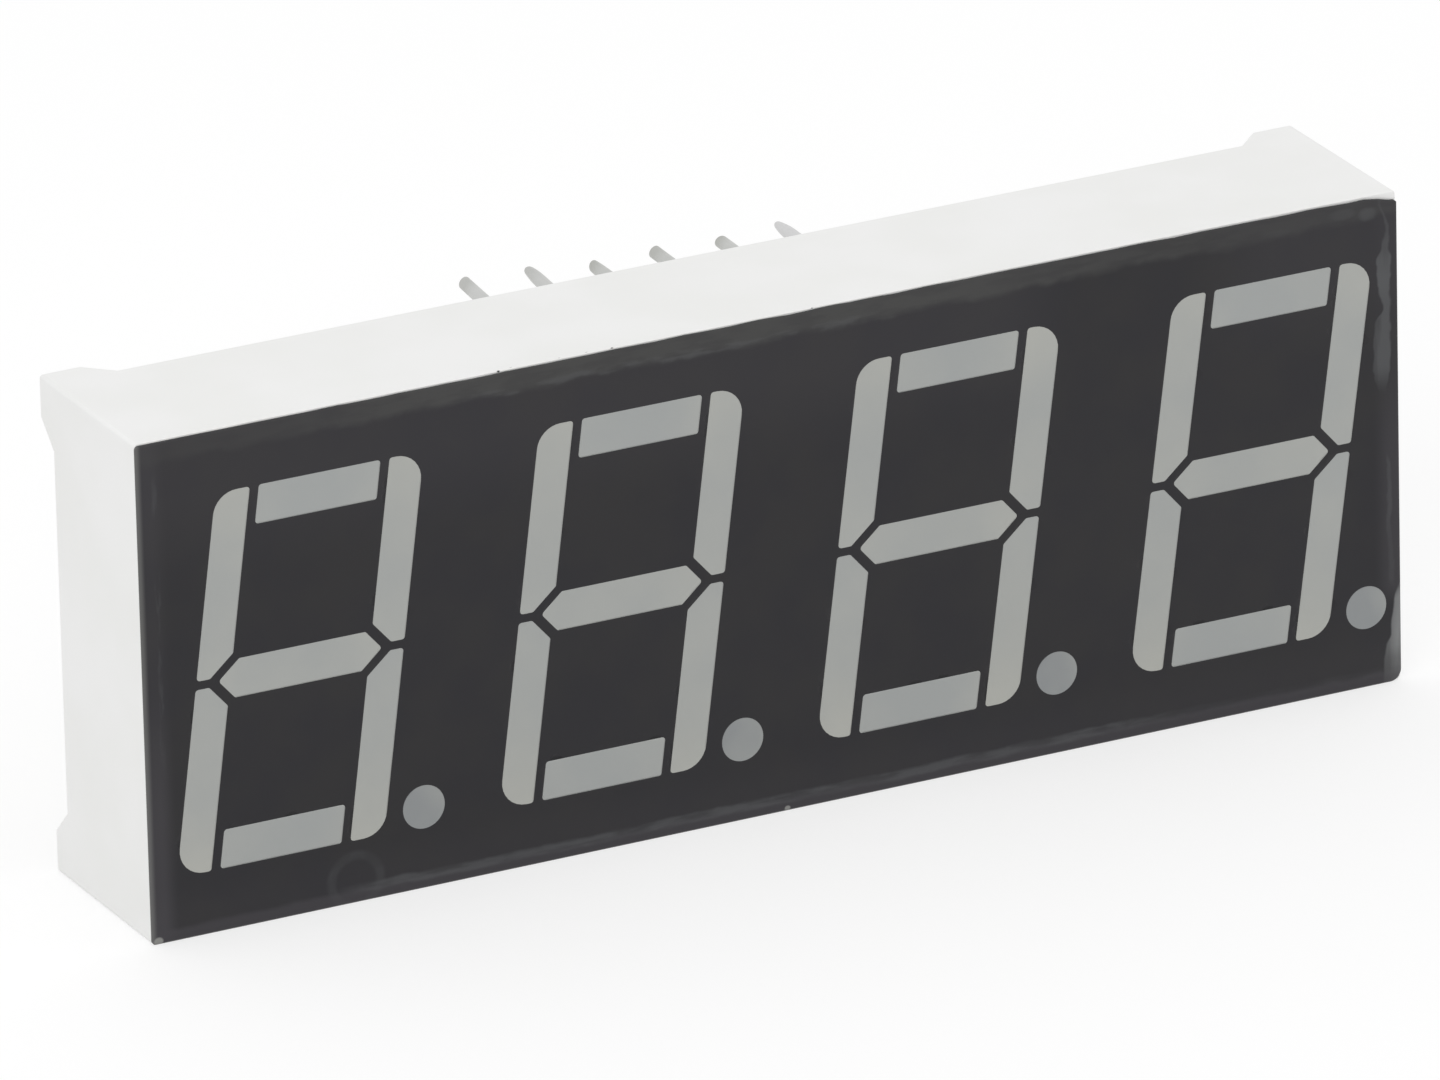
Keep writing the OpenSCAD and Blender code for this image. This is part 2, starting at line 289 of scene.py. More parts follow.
def soften(shape, wanted, width):
    """Rounds the sharp edges that are wanted."""
    edges = [
        edge for edge in shape.edges
        if len(edge.link_faces) == 2 and edge.calc_face_angle() > SHARP_ANGLE and wanted(edge)
    ]
    bmesh.ops.bevel(
        shape, geom=edges, offset=width, segments=SOFTENING_STEPS, profile=0.5, affect="EDGES",
        clamp_overlap=True,
    )


housing_low, housing_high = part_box("housing")
potting_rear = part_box("potting_resin")[1].y


def on_rim(edge):
    return min(corner.co.y for corner in edge.verts) > potting_rear


def on_front_outline(edge):
    def outside(corner):
        return min(housing_high.x - abs(corner.co.x), housing_high.z - abs(corner.co.z)) < CORNER_ZONE

    return all(corner.co.y < housing_low.y + SKIN and outside(corner) for corner in edge.verts)


housing_plastic = Finish("housing_plastic", IOR=1.5)
tree = housing_plastic.tree
grain = housing_plastic.grain(size=0.16)
speck_place = scaled(tree, housing_plastic.place, INK_STRETCH)
speck = housing_plastic.use(specks, Place=speck_place, **INK_SPECKS)["Mask"]
front = housing_low.y / MM
by_the_film = ramp(tree, housing_plastic.y, *(front + behind for behind in INK_FADE))
tone = mix_colour(tree, grain["Tone"], HOUSING_WHITE, HOUSING_SHADE)
housing_plastic.colour(product(tree, speck, by_the_film), tone, INK)
housing_plastic.rough(grain["Tone"], low=0.4, high=0.5)
housing_plastic.relief(grain["Relief"], depth=0.004 * MM, strength=0.6)

shape = welded_copy("housing")
soften(shape, on_rim, RIM_SOFTENING)
soften(shape, on_front_outline, FRONT_SOFTENING)
housing = finish_shape("housing_moulding", shape, ["housing"], housing_plastic)
weighted = housing.modifiers.new("flat_faces_stay_flat", "WEIGHTED_NORMAL")
weighted.keep_sharp = True


# ---- Circuit board ----
# A thin board of glass cloth in epoxy, cut to drop between the walls. It carries the chips on its
# front and the pins through its edge rows, and it closes the wells from behind.
LAMINATE = (0.56, 0.53, 0.36, 1)
LAMINATE_DARK = (0.44, 0.42, 0.27, 1)
CLOTH_PITCH = 0.42
WEFT_SHARE = 0.5
CLOTH_MIDDLE = 0.5


def refinish(cad_nodes, finish):
    """Gives CAD nodes whose shape is right a finish of their own."""
    for name in cad_nodes:
        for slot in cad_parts[name].material_slots:
            slot.material = finish.material


board_laminate = Finish("board_laminate", IOR=1.55)
tree = board_laminate.tree
grain = board_laminate.grain(size=0.12)
turns_per_mm = 2 * np.pi / CLOTH_PITCH
warp = calc(tree, "SINE", calc(tree, "MULTIPLY", board_laminate.x, turns_per_mm))
weft = calc(tree, "SINE", calc(tree, "MULTIPLY", board_laminate.z, turns_per_mm))
cloth = calc(tree, "MULTIPLY_ADD", warp, calc(tree, "MULTIPLY", weft, WEFT_SHARE), CLOTH_MIDDLE)
board_laminate.colour(product(tree, cloth, grain["Tone"]), LAMINATE, LAMINATE_DARK)
board_laminate.rough(grain["Tone"], low=0.35, high=0.5)
board_laminate.relief(cloth, depth=0.008 * MM, strength=0.5)
refinish(["circuit_board"], board_laminate)


# ---- Chips ----
# One tiny cube of light-emitting crystal behind each segment and point, stuck to the board with
# silver paste. Its saw-cut sides are matt and its top is bright.
DIGITS = (1, 2, 3, 4)
CRYSTAL = (0.42, 0.33, 0.12, 1)
CRYSTAL_DARK = (0.2, 0.15, 0.06, 1)

led_chip = Finish("led_chip", IOR=2.4)
grain = led_chip.grain(size=0.02)
led_chip.colour(grain["Tone"], CRYSTAL, CRYSTAL_DARK)
led_chip.rough(grain["Relief"], low=0.15, high=0.45)
led_chip.relief(grain["Relief"], depth=0.002 * MM)
refinish([f"led_chips_digit_{digit}" for digit in DIGITS], led_chip)


# ---- Bond wires ----
# A hair of gold wire arches from the top of each chip to its pad on the board. It is drawn bright,
# and welded at both ends by pressure and heat.
GOLD = (0.93, 0.69, 0.3, 1)
GOLD_DULL = (0.78, 0.55, 0.22, 1)

bond_wire = Finish("bond_wire", Metallic=1.0)
grain = bond_wire.grain(size=0.015)
bond_wire.colour(grain["Tone"], GOLD, GOLD_DULL)
bond_wire.rough(grain["Relief"], low=0.15, high=0.3)
bond_wire.relief(grain["Relief"], depth=0.0005 * MM)
refinish([f"bond_wires_digit_{digit}" for digit in DIGITS], bond_wire)


# ---- Pins ----
# Twelve stiff wires, dipped in tin as far as the potting and cropped to length. Handling has
# bent their free ends a little, and the cutters have pinched the dull tips.
TIN = (0.57, 0.575, 0.56, 1)
TIN_DULL = (0.45, 0.455, 0.43, 1)
TIN_FRESH = (0.645, 0.645, 0.645, 1)
# The depths in mm between which the tin dulls, and how much the drift of tone adds
DULL_TIPS = (3.2, 4.4)
DULL_DRIFT = 0.35
# The coat of tin and how it varies, and the bare length by the potting
TIN_THICKNESS = 0.01 * MM
TIN_DRIFT = 0.003 * MM
TIN_DRIFT_SCALE = 0.9 / MM
BARE_LENGTH = 0.2 * MM
# How the bend gathers towards the tip, the rounded nose, and the length that the cutters pinch
BEND_POWER = 1.6
NOSE_LENGTH = 0.06 * MM
BLUNT_SHARE = 0.84
PINCH_LENGTH = 1.1 * MM
PIN_ROWS = 76
PIN_SIDES = 20
# Each pin's lean at its tip, to the right and upwards in mm, how far its tip falls short in mm,
# the turn of the cutters in degrees, the share of its width that they pinched away, and how
# fresh its tin has stayed
PIN_ENDS = {
    1: (0.06, 0.05, 0.05, 20, 0.5, 0.3),
    2: (-0.08, 0.02, 0.15, 75, 0.4, 0.0),
    3: (0.1, -0.04, 0.03, 130, 0.6, 0.5),
    4: (0.02, 0.07, 0.1, 50, 0.45, 0.1),
    5: (-0.05, -0.06, 0.2, 10, 0.35, 0.25),
    6: (0.09, 0.03, 0.08, 95, 0.5, 0.0),
    7: (0.09, 0.04, 0.12, 48, 0.4, 1.0),
    8: (0.14, -0.01, 0.34, 110, 0.15, 0.0),
    9: (0.09, 0.02, 0.14, 140, 0.25, 0.1),
    10: (0.12, -0.02, 0.28, 5, 0.25, 0.0),
    11: (0.22, 0.17, 0.02, 50, 0.3, 0.35),
    12: (0.12, 0.24, 0.03, 150, 0.2, 0.25),
}


def make_pin_tree():
    """A wire with its points closer towards the tip, a coat of tin, a bend and a pinched end."""
    group = bpy.data.node_groups.new("tinned_pin", "GeometryNodeTree")
    sizes = ("Inner End", "Tip", "Radius", "Tin Start", "Tin Thickness", "Tin Drift", "Nose Length")
    for label in sizes + ("Pinch Length", "Pinch Share"):
        group.interface.new_socket(label, in_out="INPUT", socket_type="NodeSocketFloat")
    for label in ("Lean", "Place", "Pinch Way"):
        group.interface.new_socket(label, in_out="INPUT", socket_type="NodeSocketVector")
    group.interface.new_socket("Seed", in_out="INPUT", socket_type="NodeSocketInt")
    group.interface.new_socket("Finish", in_out="INPUT", socket_type="NodeSocketMaterial")
    group.interface.new_socket("Mesh", in_out="OUTPUT", socket_type="NodeSocketGeometry")
    given = node(group, "NodeGroupInput").outputs

    line = node(group, "GeometryNodeCurvePrimitiveLine", {"End": (0.0, 1.0, 0.0)}).outputs[0]
    wire = node(group, "GeometryNodeResampleCurve", {"Curve": line, "Count": PIN_ROWS}).outputs[0]
    row = node(group, "GeometryNodeSplineParameter").outputs["Index"]
    left_over = calc(group, "SUBTRACT", 1.0, calc(group, "DIVIDE", row, PIN_ROWS - 1.0))
    length = calc(group, "SUBTRACT", given["Tip"], given["Inner End"])
    from_tip = product(group, length, left_over, left_over)
    depth = calc(group, "SUBTRACT", given["Tip"], from_tip)

    free_length = calc(group, "SUBTRACT", given["Tip"], given["Tin Start"])
    out = calc(group, "MAXIMUM", calc(group, "SUBTRACT", depth, given["Tin Start"]), 0.0)
    bend = calc(group, "POWER", calc(group, "DIVIDE", out, free_length), BEND_POWER)
    lean = vector_calc(group, "SCALE", given["Lean"], bend)
    along = node(group, "ShaderNodeCombineXYZ", {"Y": depth}).outputs[0]
    sideways = vector_calc(group, "ADD", given["Place"], lean)
    place = vector_calc(group, "ADD", along, sideways)
    wire = node(group, "GeometryNodeSetPosition", {"Geometry": wire, "Position": place}).outputs[0]
    kept = group.nodes.new("GeometryNodeCaptureAttribute")
    kept.capture_items.new("VECTOR", "Axis")
    kept.capture_items.new("FLOAT", "From Tip")
    group.links.new(wire, kept.inputs["Geometry"])
    group.links.new(place, kept.inputs["Axis"])
    group.links.new(from_tip, kept.inputs["From Tip"])

    tin_full = calc(group, "ADD", given["Tin Start"], given["Tin Thickness"])
    tin = ramp(group, depth, given["Tin Start"], tin_full, 0.0, given["Tin Thickness"])
    drift_links = {"Vector": place, "W": given["Seed"], "Scale": TIN_DRIFT_SCALE}
    drift = node(group, "ShaderNodeTexNoise", drift_links, noise_dimensions="4D").outputs["Fac"]
    drift = product(group, ramp(group, depth, given["Tin Start"], tin_full), drift, given["Tin Drift"])
    thickness = calc(group, "ADD", given["Radius"], calc(group, "SUBTRACT", tin, drift))
    nose = calc(group, "DIVIDE", from_tip, given["Nose Length"])
    back = calc(group, "SUBTRACT", 1.0, calc(group, "MINIMUM", nose, 1.0))
    round_nose = calc(group, "SQRT", calc(group, "SUBTRACT", 1.0, calc(group, "POWER", back, 2.0)))
    radius = product(group, thickness, calc(group, "MAXIMUM", round_nose, BLUNT_SHARE))

    ring_links = {"Resolution": PIN_SIDES, "Radius": 1.0}
    ring = node(group, "GeometryNodeCurvePrimitiveCircle", ring_links).outputs[0]
    wire = kept.outputs["Geometry"]
    tube_links = {"Curve": wire, "Profile Curve": ring, "Scale": radius, "Fill Caps": True}
    tube = node(group, "GeometryNodeCurveToMesh", tube_links).outputs[0]

    here = node(group, "GeometryNodeInputPosition").outputs[0]
    off_axis = vector_calc(group, "SUBTRACT", here, kept.outputs["Axis"])
    aside = vector_calc(group, "DOT_PRODUCT", off_axis, given["Pinch Way"])
    kept_share = calc(group, "DIVIDE", kept.outputs["From Tip"], given["Pinch Length"])
    pinch = calc(group, "SUBTRACT", 1.0, calc(group, "MINIMUM", kept_share, 1.0))
    pull = calc(group, "MULTIPLY", product(group, aside, pinch, pinch, given["Pinch Share"]), -1.0)
    inwards = vector_calc(group, "SCALE", given["Pinch Way"], pull)
    tube = node(group, "GeometryNodeSetPosition", {"Geometry": tube, "Offset": inwards}).outputs[0]
    real = node(group, "GeometryNodeRealizeInstances", {"Geometry": tube}).outputs[0]
    finish_links = {"Geometry": real, "Material": given["Finish"]}
    done = node(group, "GeometryNodeSetMaterial", finish_links).outputs[0]
    node(group, "NodeGroupOutput", {"Mesh": done})
    return group


def grown_mesh(name, group, values):
    """The mesh that a Geometry Nodes tree makes from some values for its inputs."""
    holder = bpy.data.objects.new(name + "_holder", bpy.data.meshes.new(name + "_holder"))
    bpy.context.scene.collection.objects.link(holder)
    modifier = holder.modifiers.new(name, "NODES")
    modifier.node_group = group
    for item in group.interface.items_tree:
        if item.in_out == "INPUT":
            modifier[item.identifier] = values[item.name]
    graph = bpy.context.evaluated_depsgraph_get()
    mesh = bpy.data.meshes.new_from_object(holder.evaluated_get(graph), depsgraph=graph)
    holder.modifiers.remove(modifier)
    bpy.data.objects.remove(holder)
    mesh.name = name
    return mesh


tinned_pin = Finish("tinned_pin", Metallic=1.0)
tree = tinned_pin.tree
grain = tinned_pin.grain(size=0.07)
dullness = calc(tree, "MULTIPLY_ADD", grain["Tone"], DULL_DRIFT, ramp(tree, tinned_pin.y, *DULL_TIPS))
freshness = node(tree, "ShaderNodeAttribute", attribute_name="freshness").outputs["Fac"]
tin = mix_colour(tree, dullness, TIN, TIN_DULL)
tinned_pin.colour(freshness, tin, TIN_FRESH)
tinned_pin.rough(grain["Relief"], low=0.32, high=0.5)
tinned_pin.relief(grain["Relief"], depth=0.006 * MM, strength=0.7)

pin_tree = make_pin_tree()
for number, (across, upwards, short, turn, pinched, fresh) in PIN_ENDS.items():
    low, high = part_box(f"pin_{number}")
    values = {
        "Inner End": low.y,
        "Tip": high.y - short * MM,
        "Radius": (high.x - low.x) / 2 - TIN_THICKNESS,
        "Tin Start": potting_rear + BARE_LENGTH,
        "Tin Thickness": TIN_THICKNESS,
        "Tin Drift": TIN_DRIFT,
        "Nose Length": NOSE_LENGTH,
        "Pinch Length": PINCH_LENGTH,
        "Pinch Share": pinched,
        "Pinch Way": (cos(radians(turn)), 0.0, sin(radians(turn))),
        "Lean": (across * MM, 0.0, upwards * MM),
        "Place": ((low.x + high.x) / 2, 0.0, (low.z + high.z) / 2),
        "Seed": number,
        "Finish": tinned_pin.material,
    }
    mesh = grown_mesh(f"lead_{number}", pin_tree, values)
    freshness_marks = mesh.attributes.new("freshness", "FLOAT", "POINT")
    freshness_marks.data.foreach_set("value", [fresh] * len(mesh.vertices))
    finish_piece(f"lead_{number}", mesh, [f"pin_{number}"], tinned_pin)


# ---- Solder ----
# A small cone of solder fills the hole round each pin and stands on the board's rear face. It
# has set bright, with a faint frost.
SOLDER = (0.62, 0.62, 0.6, 1)
SOLDER_DULL = (0.4, 0.4, 0.39, 1)

solder = Finish("solder", Metallic=1.0)
grain = solder.grain(size=0.05)
solder.colour(grain["Tone"], SOLDER, SOLDER_DULL)
solder.rough(grain["Relief"], low=0.2, high=0.42)
solder.relief(grain["Relief"], depth=0.005 * MM, strength=0.7)
refinish(["solder_joints"], solder)


# ---- Light guides ----
# Each well is filled with cloudy resin that spreads the light of its chip. It has shrunk a little
# as it set, so it lies just below the film, and it is cooler over the chip and paler at its ends.
RESIN_COOL = (0.338, 0.351, 0.346, 1)
RESIN_PALE = (0.41, 0.413, 0.382, 1)
RESIN_POINT = (0.252, 0.264, 0.268, 1)
RESIN_MOTTLE = 0.26
# How pale the resin is at a segment's left or lower end, its middle and its other end
PALENESS = {
    "a": (0.2, -0.05, 0.35), "b": (0.5, 0.3, 0.8), "c": (1.0, 0.35, 0.2), "d": (0.2, -0.05, 0.35),
    "e": (1.0, 0.35, 0.2), "f": (0.5, 0.3, 0.8), "g": (0.5, 0.25, 0.65),
}
POINT_PALENESS = (0.0, 0.08, 0.2)
PALENESS_POWER = 1.5
LEVEL_SEGMENTS = "adg"
# How far the resin lies below the film at its edge, how much more in the middle, how soon it gets
# there, and how its skin is cut up, all in mm
GUIDE_DIP = 0.012
GUIDE_HOLLOW = 0.01
GUIDE_HOLLOW_REACH = 0.3
GUIDE_GRID = 0.4
GUIDE_ROWS = (0.06, 0.18)
# The least cosine of a mitre at a sharp corner, how much of its own spacing a point of a skin keeps
# clear, and how close in mm two points are one
MITRE_LIMIT = 0.4
ROW_CLEARANCE = 0.9
GRID_CLEARANCE = 0.4
SAME_POINT = 1e-6


def openings(shape):
    """The outlines where a shape is open, each as its corners in order."""
    onwards = {}
    for edge in shape.edges:
        if len(edge.link_faces) == 1:
            side = edge.link_loops[0]
            onwards[side.link_loop_next.vert] = side.vert
    outlines = []
    while onwards:
        first, corner = onwards.popitem()
        outline = [first]
        while corner is not first:
            outline.append(corner)
            corner = onwards.pop(corner)
        outlines.append(outline)
    return outlines


def inset(ring, distance):
    """A closed ring of points moved to its left, with its corners mitred."""
    moved = []
    for before, here, after in zip(ring[-1:] + ring[:-1], ring, ring[1:] + ring[:1]):
        left = (here - before).normalized().orthogonal()
        mitre = (left + (after - here).normalized().orthogonal()).normalized()
        moved.append(here + mitre * distance / max(mitre.dot(left), MITRE_LIMIT))
    return moved


def gaps_to(ring, places):
    """How far each place lies to the left of a closed ring, below zero on the ring's right."""
    start = np.array(ring)
    end = np.roll(start, -1, axis=0)
    place = np.array(places)[:, None]
    along = end - start
    share = ((place - start) * along).sum(2) / (along ** 2).sum(1)
    nearest = start + np.clip(share, 0, 1)[..., None] * along
    gap = np.linalg.norm(place - nearest, axis=2).min(1)
    level = (start[:, 1] > place[..., 1]) != (end[:, 1] > place[..., 1])
    slope = np.divide(along[:, 0], along[:, 1], out=np.zeros(len(along)), where=along[:, 1] != 0)
    crossed = level & (place[..., 0] < start[:, 0] + (place[..., 1] - start[:, 1]) * slope)
    inside = crossed.sum(1) % 2 == 1
    anticlockwise = (start[:, 0] * end[:, 1] - end[:, 0] * start[:, 1]).sum() > 0
    return np.where(inside == anticlockwise, gap, -gap)


def reface(shape, plane, front, longest, rows, spacing, sink):
    """Gives the flat end of a shape at a plane across its depth a fine skin. Rows of points follow
    its outlines and a grid fills the rest, and sink says how far in each point lies, all in mm."""
    flat = [face for face in shape.faces if all(abs(corner.co.y - plane) < WELD for corner in face.verts)]
    bmesh.ops.delete(shape, geom=flat, context="FACES")
    for edge in [edge for edge in shape.edges if len(edge.link_faces) == 1]:
        cuts = ceil(edge.calc_length() / MM / longest) - 1
        if cuts > 0:
            bmesh.ops.bisect_edges(shape, edges=[edge], cuts=cuts)

    turn = 1 if front else -1
    outlines = openings(shape)
    rings = [[Vector((turn * corner.co.x, corner.co.z)) / MM for corner in outline] for outline in outlines]
    wanted = [
        (place, row * ROW_CLEARANCE) for ring in rings for row in rows for place in inset(ring, row)
    ]
    everywhere = np.array([place for ring in rings for place in ring])
    low, high = everywhere.min(0), everywhere.max(0)
    for across in np.arange(low[0] + spacing / 2, high[0], spacing):
        for up in np.arange(low[1] + spacing / 2, high[1], spacing):
            wanted.append((Vector((across, up)), rows[-1] + spacing * GRID_CLEARANCE))
    places = [place for place, _ in wanted]
    gaps = np.min([gaps_to(ring, places) for ring in rings], axis=0)

    def rest(place, gap):
        depth = sink(turn * place.x, place.y, gap) * MM
        return Vector((turn * place.x * MM, plane + depth * turn, place.y * MM))

    points, corners, owners, fixed = [], [], [], []
    for owner, (outline, ring) in enumerate(zip(outlines, rings)):
        first, count = len(points), len(ring)
        for corner, place in zip(outline, ring):
            corner.co = rest(place, 0.0)
        points += ring
        corners += outline
        owners += [owner] * count
        fixed += [(first + step, first + (step + 1) % count) for step in range(count)]
    for (place, least), gap in zip(wanted, gaps):
        if gap >= least:
            points.append(place)
            corners.append(shape.verts.new(rest(place, gap)))
            owners.append(None)
    _, _, triangles, origins, *_ = delaunay_2d_cdt(points, fixed, [], 1, SAME_POINT)
    outer = int(np.argmax([np.ptp(np.array(ring)[:, 0]) for ring in rings]))
    for triangle in triangles:
        own = [origins[corner][0] for corner in triangle]
        held_by = {owners[corner] for corner in own}
        # A triangle held by one inner outline alone would close that window
        if len(held_by) == 1 and held_by.isdisjoint({None, outer}):
            continue
        shape.faces.new([corners[corner] for corner in own])


light_guide_resin = Finish("light_guide_resin", IOR=1.52)
tree = light_guide_resin.tree
grain = light_guide_resin.grain(size=0.09)
paleness = node(tree, "ShaderNodeAttribute", attribute_name="paleness").outputs["Fac"]
is_point = node(tree, "ShaderNodeAttribute", attribute_name="is_point").outputs["Fac"]
cool = mix_colour(tree, is_point, RESIN_COOL, RESIN_POINT)
least_pale = calc(tree, "SUBTRACT", paleness, RESIN_MOTTLE / 2)
mottled = calc(tree, "MULTIPLY_ADD", grain["Tone"], RESIN_MOTTLE, least_pale)
light_guide_resin.colour(mottled, cool, RESIN_PALE)
light_guide_resin.rough(grain["Relief"], low=0.36, high=0.5)
light_guide_resin.relief(grain["Relief"], depth=0.003 * MM, strength=0.5)


def guide_dip(across, up, gap):
    return GUIDE_DIP + GUIDE_HOLLOW * (1 - exp(-gap / GUIDE_HOLLOW_REACH))


def make_guide(cad_node, name, level, pale, point):
    """A light guide with a slightly hollow front, marked with how pale the resin is at each corner."""
    low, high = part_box(cad_node)
    shape = welded_copy(cad_node)
    reface(
        shape, low.y, front=True, longest=GUIDE_GRID, rows=GUIDE_ROWS, spacing=GUIDE_GRID, sink=guide_dip
    )
    pale_marks = shape.verts.layers.float.new("paleness")
    point_marks = shape.verts.layers.float.new("is_point")
    axis = 0 if level else 2
    first_end, middle, last_end = pale
    for corner in shape.verts:
        along = 2 * (corner.co[axis] - low[axis]) / (high[axis] - low[axis]) - 1
        end = last_end if along > 0 else first_end
        corner[pale_marks] = middle + (end - middle) * abs(along) ** PALENESS_POWER
        corner[point_marks] = point
    finish_shape(name, shape, [cad_node], light_guide_resin)


for digit in DIGITS:
    for letter, pale in PALENESS.items():
        segment = f"digit_{digit}_segment_{letter}"
        make_guide(
            segment, f"light_guide_{digit}{letter}", level=letter in LEVEL_SEGMENTS, pale=pale, point=0.0
        )
    make_guide(
        f"digit_{digit}_decimal_point", f"light_guide_{digit}_point", level=True, pale=POINT_PALENESS,
        point=1.0,
    )


# ---- Potting ----
# Milky resin poured over the back of the board to hold board and pins. It has crept a little up
# the walls and the pins as it set. Its skin is glossy, not quite level, and pitted by bubbles.
POTTING = (0.7, 0.7, 0.66, 1)
POTTING_DEEP = (0.6, 0.61, 0.58, 1)
POTTING_PIT = (0.42, 0.42, 0.39, 1)
# The bubble pits in mm, how much painted shade darkens them, and how many times the grain's depth
PITS = {"Cell": 1.5, "Radius": 0.13, "Share": 0.8}
PIT_SHADE = 0.6
PIT_DEPTH = 4.0
# How high the resin creeps and how far from a wall that reaches, and how its skin is cut up, in mm
CREEP_HEIGHT = 0.11
CREEP_REACH = 0.17
POTTING_GRID = 0.7
POTTING_ROWS = (0.05, 0.12, 0.22, 0.38)
# The slow waves in the skin: their height in mm, the turn per mm and the start of two that are
# crossed, and the turn per mm across and up of one that slants
POTTING_WAVE = 0.02
WAVE_ACROSS = (0.41, 0.6)
WAVE_UP = (0.52, -0.3)
SLANT_WAVE = (0.17, -0.33)


def potting_level(across, up, gap):
    """How far the potting's skin lies inside its flat. Where it creeps up, it stands proud."""
    crossed = sin(across * WAVE_ACROSS[0] + WAVE_ACROSS[1]) * cos(up * WAVE_UP[0] + WAVE_UP[1])
    wave = crossed + sin(across * SLANT_WAVE[0] + up * SLANT_WAVE[1])
    return POTTING_WAVE * (1 - exp(-gap)) * wave / 2 - CREEP_HEIGHT * exp(-gap / CREEP_REACH)


potting_resin = Finish("potting_resin", IOR=1.5, Coat_Weight=0.4, Coat_Roughness=0.08)
tree = potting_resin.tree
grain = potting_resin.grain(size=0.35)
pit = potting_resin.use(specks, Place=potting_resin.place, **PITS)["Mask"]
tone = mix_colour(tree, grain["Tone"], POTTING, POTTING_DEEP)
# The pits are painted darker, as painted shade in their hollows
potting_resin.colour(product(tree, pit, PIT_SHADE), tone, POTTING_PIT)
potting_resin.rough(grain["Relief"], low=0.16, high=0.3)
skin_height = calc(tree, "MULTIPLY_ADD", pit, -PIT_DEPTH, grain["Relief"])
potting_resin.relief(skin_height, depth=0.01 * MM, strength=0.4)

shape = welded_copy("potting_resin")
reface(
    shape, potting_rear, front=False, longest=POTTING_GRID, rows=POTTING_ROWS, spacing=POTTING_GRID,
    sink=potting_level,
)
finish_shape("potting", shape, ["potting_resin"], potting_resin)


# ---- Face film ----
# A charcoal film stuck over the front with a window for each guide. It is cut flush with the
# housing, and its edges are rolled over by the cutter. Its border carries painted sheen where the rolled
# edges catch the light, and faint wear.
FILM = (0.0125, 0.0118, 0.015, 1)
FILM_WARM = (0.0155, 0.0145, 0.016, 1)
# The next four colours are painted sheen where the film's edges catch the light. The third also tints the
# pressed ring and the lighter patches, and the last is the pale of the cut edges and worn spots
FILM_TOP_SHEEN = (0.046, 0.0458, 0.045, 1)
FILM_SHEEN = (0.044, 0.041, 0.047, 1)
FILM_SHEEN_AND_MARK = (0.074, 0.076, 0.08, 1)
FILM_CORNER_SHEEN = (0.2, 0.204, 0.206, 1)
FILM_CUT = (0.24, 0.24, 0.23, 1)
# How deep the film rolls over at its outer edge and at its windows, how soon that fades, and how
# its skin is cut up, all in mm
FILM_ROLL = 0.055
FILM_ROLL_REACH = 0.03
FILM_EASE = 0.012
FILM_EASE_REACH = 0.5
WINDOW_ROLL = 0.014
WINDOW_ROLL_REACH = 0.02
FILM_GRID = 0.36
FILM_ROWS = (0.02, 0.05, 0.1)
FILM_OUTLINE_STEP = 0.6
# The film's top edge sags a little, most at its ends, is cut a little wavy, and drops at the right
CORNER_DROP = 0.24 * MM
CORNER_DROP_LENGTH = 1.3 * MM
CORNER_DROP_DEPTH = 1.0 * MM
TOP_SAG = 0.04 * MM
TOP_SAG_AT_ENDS = 0.09 * MM
TOP_WAVE = 0.045 * MM
TOP_WAVE_LENGTH = 1.4 * MM
# The radius in mm to which its low right corner is worn
WORN_CORNER = 0.45
# The faint ring that something round has pressed into the film: its middle, radius, width and depth
# in mm, how its shade fades away from it, and the noise that makes it stronger and weaker
RING_PLACE = (-17.15, -8.65)
RING_RADIUS = 0.97
RING_WIDTH = 0.2
RING_DEPTH = 0.004
RING_SHADE = (0.27, 0.06)
RING_STRENGTH = (-0.15, 0.1, 0.12, 0.27)
# Painted sheen in ragged streaks down the right-hand edge, where the film's wavy edge catches the light, over
# shallow troughs. Each row is a height, the streak's left and right sides there, and its strength.
LONG_SHEEN = (
    (9.2, 24.3, 24.4, 0.25), (8.1, 24.6, 24.76, 0.45), (7.5, 24.48, 24.76, 0.65),
    (6.9, 24.2, 24.85, 0.9), (6.2, 24.33, 24.88, 1.0), (5.1, 24.55, 24.87, 0.85),
    (4.5, 24.16, 24.83, 0.85), (3.0, 24.03, 24.76, 0.85), (1.7, 24.3, 24.7, 0.0),
)
LOW_SHEEN = (
    (-0.4, 24.52, 24.62, 0.0), (-1.0, 24.53, 24.7, 0.38), (-2.6, 24.55, 24.76, 0.38),
    (-4.0, 24.6, 24.8, 0.2), (-5.4, 24.6, 24.85, 0.2), (-5.8, 24.7, 24.9, 0.0),
)
SHEEN_TROUGH_DEPTH = 0.012
SHEEN_RAGGED = 0.5
SHEEN_EDGE = (-0.04, 0.07)
SHEEN_STREAKINESS = (0.25, 0.5, 0.8, 1.0)
# Below a height, the painted sheen is weaker away from a streaky right side
THIN_STREAKS = 0.9
THIN_SIDE = (24.65, 24.95, 0.6, 1.0)
THIN_BELOW = (4.2, 5.0)
# Painted sheen at the corner below them, where the film's edge curls back to the light: a height, how far in
# from the edge it reaches, and its strength
CORNER_SHEEN = (
    (-5.4, 0.0, 0.0), (-6.3, 0.27, 0.9), (-7.6, 0.44, 1.05), (-8.0, 0.64, 1.0),
    (-8.7, 0.72, 0.6), (-9.3, 0.74, 0.3),
)
# Its inner edge and how it weakens inwards, in mm from the film's edge
CORNER_SHEEN_RAGGED = 0.25
CORNER_SHEEN_EDGE = (-0.05, 0.06)
CORNER_SHEEN_FADE = (-0.7, -0.05)
CORNER_SHEEN_INNER = 0.45
CORNER_SHEEN_STREAKS = (0.3, 0.6, 0.8, 1.0)
